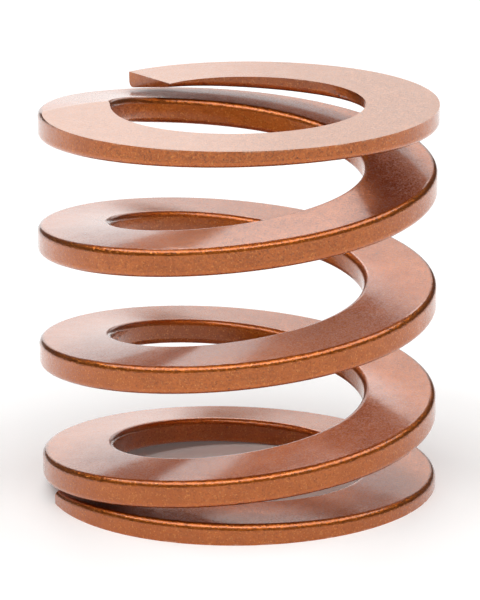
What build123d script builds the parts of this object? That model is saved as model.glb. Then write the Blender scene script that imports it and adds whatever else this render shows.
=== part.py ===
from build123d import *
import math
import os

# ---------------------------------------------------------------------------
# Bump stop spring: one bar of flat wire coiled on edge into a right-handed
# helix, with both end coils closed and ground flat.
# Millimetres. +Z runs up the coil. The origin is the centre of the outline,
# on the plane of the bottom ground face.
# ---------------------------------------------------------------------------

# Driving dimensions
outer_diameter = 50.8          # over the end coils
inner_diameter = 32.06         # clear bore through the coils
free_height = 50.46            # between the two ground faces
outer_thickness = 3.60         # wire height along Z at the outside edge
inner_thickness = 3.30         # wire height along Z at the inside edge
corner_radius = 0.76           # rolled corners of the flat wire
section_step = 15.0            # turn angle between two sections

# The coil axis leans 0.6 degrees from square to the ground faces.
axis_x_at_base = -0.155
axis_x_lean = 0.0102           # sideways shift for each mm of height

# Course of the wire, one row at each turn angle, counted anticlockwise from
# +X as seen from above: angle in degrees, height of the outside top corner
# before grinding, lift of the inside top corner above it, and growth of the
# outside radius over half the outer diameter.
wire_course = (
    (198.5, 1.76, 0.01, -0.38), (225, 2.55, 0.06, -0.22), (255, 2.72, 0.14, -0.10),
    (285, 2.48, 0.26, -0.05), (315, 2.07, 0.39, -0.02), (345, 1.75, 0.52, 0.00),
    (375, 1.72, 0.67, 0.00), (410, 2.07, 0.83, 0.02), (445, 2.57, 0.92, 0.04),
    (480, 3.38, 0.94, 0.08), (515, 4.37, 0.89, 0.14), (555, 5.66, 0.80, 0.20),
    (600, 7.50, 0.60, 0.15), (645, 9.40, 0.57, 0.03), (690, 11.31, 0.44, -0.05),
    (735, 13.26, 0.35, -0.04), (780, 15.31, 0.31, 0.02), (825, 17.22, 0.28, 0.18),
    (870, 19.08, 0.26, 0.34), (915, 20.76, 0.34, 0.42), (960, 22.43, 0.43, 0.32),
    (1005, 24.21, 0.48, 0.15), (1050, 26.00, 0.37, -0.07), (1095, 27.95, 0.18, -0.10),
    (1140, 30.11, 0.06, 0.03), (1185, 32.23, -0.01, 0.22), (1230, 34.11, 0.02, 0.38),
    (1275, 35.71, 0.30, 0.44), (1320, 37.38, 0.54, 0.32), (1365, 39.25, 0.54, 0.12),
    (1410, 41.12, 0.38, -0.08), (1455, 43.08, 0.24, -0.16), (1500, 45.33, 0.15, -0.09),
    (1545, 47.33, 0.04, 0.05), (1566, 48.12, 0.21, 0.13), (1590, 49.14, 0.50, 0.20),
    (1620, 50.21, 0.61, 0.26), (1650, 51.02, 0.56, 0.26), (1680, 51.55, 0.53, 0.20),
    (1710, 51.85, 0.50, 0.12), (1740, 51.90, 0.50, 0.07), (1770, 51.49, 0.87, 0.04),
    (1800, 51.18, 1.06, 0.03), (1830, 50.92, 1.16, 0.03), (1855, 50.74, 1.26, 0.03),
    (1877, 50.79, 1.37, 0.03), (1893, 51.09, 1.34, 0.02), (1909, 51.47, 1.33, -0.10),
    (1926, 51.92, 1.38, -0.75),
)

# Derived
outer_radius = outer_diameter / 2
wire_width = (outer_diameter - inner_diameter) / 2
first_angle = wire_course[0][0]
last_angle = wire_course[-1][0]


def course_value(angle, column):
    """Smooth curve through one column of the course, at a turn angle."""
    rows = wire_course
    k = 0
    while k < len(rows) - 2 and angle > rows[k + 1][0]:
        k += 1

    def slope(j):
        if j == 0:
            return (rows[1][column] - rows[0][column]) / (rows[1][0] - rows[0][0])
        if j == len(rows) - 1:
            return (rows[j][column] - rows[j - 1][column]) / (rows[j][0] - rows[j - 1][0])
        before = rows[j][0] - rows[j - 1][0]
        after = rows[j + 1][0] - rows[j][0]
        down = (rows[j][column] - rows[j - 1][column]) / before
        up = (rows[j + 1][column] - rows[j][column]) / after
        return (after * down + before * up) / (after + before)

    span = rows[k + 1][0] - rows[k][0]
    s = (angle - rows[k][0]) / span
    return (
        (2 * s**3 - 3 * s**2 + 1) * rows[k][column]
        + (s**3 - 2 * s**2 + s) * span * slope(k)
        + (-2 * s**3 + 3 * s**2) * rows[k + 1][column]
        + (s**3 - s**2) * span * slope(k + 1)
    )


spans = math.ceil((last_angle - first_angle) / section_step)
station = [first_angle + (last_angle - first_angle) * i / spans for i in range(spans + 1)]
turns = math.ceil((last_angle - first_angle) / 360)
first_in_turn = [round(spans * i / turns) for i in range(turns + 1)]

os.makedirs("parts", exist_ok=True)

with BuildPart() as spring:
    # The wire is drawn one turn at a time. Each section stands in the radial
    # plane at its station: upright inner and outer sides, top and bottom sides
    # that follow the lift, and rolled corners.
    for begin, end in zip(first_in_turn[:-1], first_in_turn[1:]):
        for angle in station[begin:end + 1]:
            top = course_value(angle, 1)
            lift = course_value(angle, 2)
            reach = outer_radius + course_value(angle, 3)
            turn = math.radians(angle)
            radial = Vector(math.cos(turn), math.sin(turn), 0)
            tangent = Vector(-math.sin(turn), math.cos(turn), 0)
            height = top - outer_thickness / 2
            axis_x = axis_x_at_base + axis_x_lean * height
            centre = Vector(axis_x, 0, height) + radial * (reach - wire_width / 2)
            with BuildSketch(Plane(origin=centre, x_dir=radial, z_dir=-tangent)) as section:
                with BuildLine():
                    Polyline(
                        (wire_width / 2, -outer_thickness / 2),
                        (wire_width / 2, outer_thickness / 2),
                        (-wire_width / 2, outer_thickness / 2 + lift),
                        (-wire_width / 2, outer_thickness / 2 + lift - inner_thickness),
                        close=True,
                    )
                make_face()
                fillet(section.vertices(), corner_radius)
        loft()

    # Both end coils are ground flat, square to +Z.
    with Locations((0, 0, free_height)):
        Box(2 * outer_diameter, 2 * outer_diameter, outer_thickness * 2,
            align=(Align.CENTER, Align.CENTER, Align.MIN), mode=Mode.SUBTRACT)
    Box(2 * outer_diameter, 2 * outer_diameter, outer_thickness * 2,
        align=(Align.CENTER, Align.CENTER, Align.MAX), mode=Mode.SUBTRACT)

spring.part.label = "spring"
export_step(spring.part, "parts/spring.step")

box = spring.part.bounding_box()
print("solids", len(spring.part.solids()), "faces", len(spring.part.faces()))
print("box", [round(v, 3) for v in (*box.min, *box.max)])
print("volume mm3", round(spring.part.volume, 1))
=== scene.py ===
import math

import bpy
from mathutils import Matrix, Vector

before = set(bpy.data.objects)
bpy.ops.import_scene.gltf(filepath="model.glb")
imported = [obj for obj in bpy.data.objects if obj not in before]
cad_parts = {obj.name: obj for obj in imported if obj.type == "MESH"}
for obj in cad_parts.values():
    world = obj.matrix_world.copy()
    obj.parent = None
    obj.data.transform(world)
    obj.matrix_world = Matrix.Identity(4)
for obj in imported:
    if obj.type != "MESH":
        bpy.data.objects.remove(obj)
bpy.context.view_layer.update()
MM = 0.001

scene = bpy.context.scene
scene.view_settings.view_transform = "Standard"
scene.view_settings.look = "None"


# ---------------------------------------------------------------- camera
def camera_at(location, forward, right, up, focal_px, name="photo_camera"):
    """A camera with that focal length in pixels of a 480 x 600 picture."""
    data = bpy.data.cameras.new(name)
    data.sensor_fit = "AUTO"
    data.sensor_width = 36.0
    data.lens = 36.0 * focal_px / 600.0
    data.clip_start, data.clip_end = 0.05, 60.0
    camera = bpy.data.objects.new(name, data)
    back = -Vector(forward)
    camera.matrix_world = Matrix((
        (right[0], up[0], back[0], location[0]),
        (right[1], up[1], back[1], location[1]),
        (right[2], up[2], back[2], location[2]),
        (0.0, 0.0, 0.0, 1.0),
    ))
    scene.collection.objects.link(camera)
    scene.camera = camera
    return camera


focal_px = 4218.887
forward = Vector((-0.000163111, 0.963044032, -0.269343955))
right = Vector((0.999938023, -0.002841299, -0.010764663))
up = Vector((0.011132131, 0.269329018, 0.962983881))
half_pixel = 0.5 / focal_px
forward = (forward - right * half_pixel + up * half_pixel).normalized()
right = (right - forward * right.dot(forward)).normalized()
up = right.cross(forward)
camera_at((0.000282, -0.522640, 0.170767), forward, right, up, focal_px)


# ---------------------------------------------------------------- node helper
class Nodes:
    """Builds one material's node tree."""

    def __init__(self, name):
        self.material = bpy.data.materials.new(name)
        self.material.use_nodes = True
        self.tree = self.material.node_tree
        self.tree.nodes.clear()
        self.output = self.add("ShaderNodeOutputMaterial")

    def add(self, kind, inputs=None, **settings):
        node = self.tree.nodes.new(kind)
        for key, value in settings.items():
            setattr(node, key, value)
        for key, value in (inputs or {}).items():
            if isinstance(value, bpy.types.NodeSocket):
                self.tree.links.new(value, node.inputs[key])
            else:
                node.inputs[key].default_value = value
        return node

    def math(self, operation, a, b=None, c=None, clamp=False):
        node = self.add("ShaderNodeMath", operation=operation, use_clamp=clamp)
        for i, value in enumerate((a, b, c)):
            if value is None:
                continue
            if isinstance(value, bpy.types.NodeSocket):
                self.tree.links.new(value, node.inputs[i])
            else:
                node.inputs[i].default_value = value
        return node.outputs[0]

    def vector(self, operation, a, b=None, scale=None):
        node = self.add("ShaderNodeVectorMath", operation=operation)
        for i, value in enumerate((a, b)):
            if value is None:
                continue
            if isinstance(value, bpy.types.NodeSocket):
                self.tree.links.new(value, node.inputs[i])
            else:
                node.inputs[i].default_value = value
        if scale is not None:
            if isinstance(scale, bpy.types.NodeSocket):
                self.tree.links.new(scale, node.inputs["Scale"])
            else:
                node.inputs["Scale"].default_value = scale
        return node.outputs["Value" if operation in ("LENGTH", "DISTANCE", "DOT_PRODUCT") else "Vector"]

    def noise(self, coordinates, size_mm, detail=2.0, roughness=0.5):
        return self.add(
            "ShaderNodeTexNoise",
            {"Vector": coordinates, "Scale": 1.0 / (size_mm * MM), "Detail": detail, "Roughness": roughness},
            noise_dimensions="3D",
        )

    def cells(self, coordinates, size_mm, feature="F1", randomness=1.0):
        return self.add(
            "ShaderNodeTexVoronoi",
            {"Vector": coordinates, "Scale": 1.0 / (size_mm * MM), "Randomness": randomness},
            feature=feature, voronoi_dimensions="3D",
        )

    def remap(self, value, from_low, from_high, to_low, to_high, smooth=False):
        node = self.add(
            "ShaderNodeMapRange",
            {"Value": value, "From Min": from_low, "From Max": from_high, "To Min": to_low, "To Max": to_high},
            interpolation_type="SMOOTHSTEP" if smooth else "LINEAR", clamp=True,
        )
        return node.outputs["Result"]

    def mix(self, factor, a, b):
        node = self.add("ShaderNodeMix", data_type="RGBA", blend_type="MIX")
        for key, value in ((0, factor), (6, a), (7, b)):
            if isinstance(value, bpy.types.NodeSocket):
                self.tree.links.new(value, node.inputs[key])
            else:
                node.inputs[key].default_value = value
        return node.outputs[2]


# ---------------------------------------------------------------- metallic copper paint
def copper_paint():
    n = Nodes("metallic_copper_paint_detail")
    where = n.add("ShaderNodeTexCoord").outputs["Object"]
    geometry = n.add("ShaderNodeNewGeometry")
    normal = geometry.outputs["Normal"]

    height = n.add("ShaderNodeSeparateXYZ", {"Vector": where}).outputs["Z"]
    upward = n.add("ShaderNodeSeparateXYZ", {"Vector": normal}).outputs["Z"]

    # fine flake: each cell is one flake with its own tone and its own small tilt
    flake = n.cells(where, 0.16)
    flake_tone = n.add("ShaderNodeSeparateColor", {"Color": flake.outputs["Color"]})
    tilt = n.vector("SUBTRACT", flake.outputs["Color"], (0.5, 0.5, 0.5))
    flake_normal = n.vector("NORMALIZE", n.vector("ADD", normal, n.vector("SCALE", tilt, scale=0.30)))

    # paint tone: clouds a few millimetres across, and flakes lighter and darker than the mean
    clouds = n.noise(where, 6.0, detail=3.0)
    cloud = n.remap(clouds.outputs["Fac"], 0.35, 0.65, 0.0, 1.0, smooth=True)
    deep = (0.430, 0.106, 0.014, 1.0)
    mean = (0.480, 0.124, 0.018, 1.0)
    bright = (0.700, 0.275, 0.065, 1.0)
    dark = (0.330, 0.070, 0.008, 1.0)
    paint = n.mix(cloud, deep, mean)
    paint = n.mix(n.remap(flake_tone.outputs["Red"], 0.82, 1.0, 0.0, 0.55), paint, bright)
    paint = n.mix(n.remap(flake_tone.outputs["Green"], 0.74, 1.0, 0.0, 0.70), paint, dark)

    # painted reflection: the base colour is made paler on the two flat ground faces, standing in for the brighter
    # grazing reflection they show
    end_height = n.math("ABSOLUTE", n.math("SUBTRACT", height, 25.23 * MM))
    flat = n.remap(n.math("ABSOLUTE", upward), 0.90, 0.995, 0.0, 1.0)
    ground_face_painted_reflection = n.math("MULTIPLY", flat, n.remap(end_height, 25.13 * MM, 25.20 * MM, 0.0, 1.0))
    paint = n.mix(n.math("MULTIPLY", ground_face_painted_reflection, 0.9), paint, (0.530, 0.225, 0.105, 1.0))

    # the sharp grind edges are rubbed bright in places
    edge = n.math("MULTIPLY", n.remap(end_height, 24.98 * MM, 25.21 * MM, 0.0, 1.0),
                  n.remap(n.math("ABSOLUTE", upward), 0.5, 0.9, 1.0, 0.0))
    rubbed = n.math("MULTIPLY", edge, n.remap(n.noise(where, 1.6, detail=4.0, roughness=0.7).outputs["Fac"], 0.50, 0.62, 0.0, 1.0))
    paint = n.mix(n.math("MULTIPLY", rubbed, 0.55), paint, (0.640, 0.400, 0.270, 1.0))

    # a few tiny dark specks of dirt
    speck = n.cells(where, 2.6)
    speck_pick = n.add("ShaderNodeSeparateColor", {"Color": speck.outputs["Color"]}).outputs["Blue"]
    is_speck = n.math("MULTIPLY", n.remap(speck.outputs["Distance"], 0.045, 0.075, 1.0, 0.0),
                      n.math("GREATER_THAN", speck_pick, 0.86))
    paint = n.mix(n.math("MULTIPLY", is_speck, 0.8), paint, (0.060, 0.022, 0.010, 1.0))

    # orange peel of the clear layer
    peel = n.noise(where, 1.1, detail=2.0, roughness=0.55)
    grain = n.noise(where, 0.28, detail=1.0)
    peel_height = n.math("ADD", n.math("MULTIPLY", peel.outputs["Fac"], 1.0), n.math("MULTIPLY", grain.outputs["Fac"], 0.22))
    peel_bump = n.add(
        "ShaderNodeBump", {"Height": peel_height, "Strength": 0.5, "Distance": 0.010 * MM}
    ).outputs["Normal"]

    rough = n.remap(n.noise(where, 2.4, detail=2.0).outputs["Fac"], 0.3, 0.7, 0.37, 0.43)
    coat_rough = n.math("ADD", n.remap(n.noise(where, 3.5, detail=2.0).outputs["Fac"], 0.3, 0.7, 0.10, 0.14),
                        n.math("MULTIPLY", n.math("MAXIMUM", is_speck, rubbed), 0.25))
    shader = n.add("ShaderNodeBsdfPrincipled", {
        "Base Color": paint,
        "Metallic": 1.0,
        "Roughness": rough,
        "Normal": flake_normal,
        "Coat Weight": 1.0,
        "Coat Roughness": coat_rough,
        "Coat IOR": 1.46,
        "Coat Normal": peel_bump,
    })
    n.tree.links.new(shader.outputs["BSDF"], n.output.inputs["Surface"])
    return n.material


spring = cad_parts["spring"]
paint = copper_paint()
for slot in spring.material_slots:
    slot.material = paint


# ---------------------------------------------------------------- floor
def pale_floor():
    n = Nodes("pale_floor")
    where = n.add("ShaderNodeTexCoord").outputs["Object"]
    tone = n.remap(n.noise(where, 40.0, detail=3.0).outputs["Fac"], 0.3, 0.7, 0.0, 1.0)
    colour = n.mix(tone, (0.955, 0.953, 0.95, 1.0), (0.970, 0.968, 0.965, 1.0))
    shader = n.add("ShaderNodeBsdfPrincipled", {
        "Base Color": colour, "Roughness": 0.7,
        "Specular IOR Level": 0.3,
        "Emission Color": (1.0, 0.995, 0.99, 1.0), "Emission Strength": 0.065,
    })
    n.tree.links.new(shader.outputs["BSDF"], n.output.inputs["Surface"])
    return n.material


def plane(name, half, z):
    mesh = bpy.data.meshes.new(name)
    mesh.from_pydata([(-half, -half, z), (half, -half, z), (half, half, z), (-half, half, z)], [], [(0, 1, 2, 3)])
    thing = bpy.data.objects.new(name, mesh)
    scene.collection.objects.link(thing)
    return thing


floor = plane("floor", 4.0, 0.0)
floor.data.materials.append(pale_floor())


# ---------------------------------------------------------------- light
# Soft panels round the object, each given by its elevation, its bearing (0 is
# behind the object, 90 is to its right) and its radiance, in a dim room.
panels = (
    # low, high, bearing, half width, radiance
    (79.0, 90.0, 0.0, 181.0, 0.25),
    (42.0, 68.0, -90.0, 45.0, 3.2),
    (42.0, 68.0, 90.0, 45.0, 2.9),
    (42.0, 68.0, 180.0, 45.0, 4.0),
    (31.0, 42.0, 0.0, 15.0, 3.7),
    (22.0, 31.0, -7.5, 7.5, 1.6),
    (22.0, 31.0, 7.5, 7.5, 1.1),
    (14.0, 22.0, -7.5, 7.5, 1.45),
    (14.0, 22.0, 7.5, 7.5, 1.0),
    (7.0, 14.0, -7.5, 7.5, 1.2),
    (7.0, 14.0, 7.5, 7.5, 0.95),
    (-1.0, 7.0, -7.5, 7.5, 1.2),
)
room = 0.035
edge_softness = 0.8

world = bpy.data.worlds.new("studio")
scene.world = world
world.use_nodes = True
sky = world.node_tree


def sky_math(operation, a, b=None):
    node = sky.nodes.new("ShaderNodeMath")
    node.operation = operation
    for i, value in enumerate((a, b)):
        if value is None:
            continue
        if isinstance(value, bpy.types.NodeSocket):
            sky.links.new(value, node.inputs[i])
        else:
            node.inputs[i].default_value = value
    return node.outputs[0]


def inside(value, centre, half):
    """1 within half of the centre, 0 outside it, with a soft edge."""
    off = sky_math("ABSOLUTE", sky_math("SUBTRACT", value, centre))
    node = sky.nodes.new("ShaderNodeMapRange")
    node.interpolation_type = "SMOOTHSTEP"
    node.clamp = True
    sky.links.new(off, node.inputs["Value"])
    node.inputs["From Min"].default_value = half - edge_softness
    node.inputs["From Max"].default_value = half + edge_softness
    node.inputs["To Min"].default_value = 1.0
    node.inputs["To Max"].default_value = 0.0
    return node.outputs["Result"]


direction = sky.nodes.new("ShaderNodeTexCoord").outputs["Generated"]
split = sky.nodes.new("ShaderNodeSeparateXYZ")
sky.links.new(direction, split.inputs[0])
elevation = sky_math("MULTIPLY", sky_math("ARCSINE", split.outputs["Z"]), 180.0 / math.pi)
bearing = sky_math("MULTIPLY", sky_math("ARCTAN2", split.outputs["X"], split.outputs["Y"]), 180.0 / math.pi)
behind = sky_math("SUBTRACT", 180.0, sky_math("ABSOLUTE", bearing))
total = room
for low, high, centre, half, radiance in panels:
    band = inside(elevation, (low + high) / 2, (high - low) / 2)
    sector = inside(behind, 0.0, half) if centre == 180.0 else inside(bearing, centre, half)
    total = sky_math("ADD", sky_math("MULTIPLY", sky_math("MULTIPLY", band, sector), radiance), total)
background = sky.nodes["Background"]
background.inputs["Color"].default_value = (1.0, 1.0, 1.0, 1.0)
sky.links.new(total, background.inputs["Strength"])
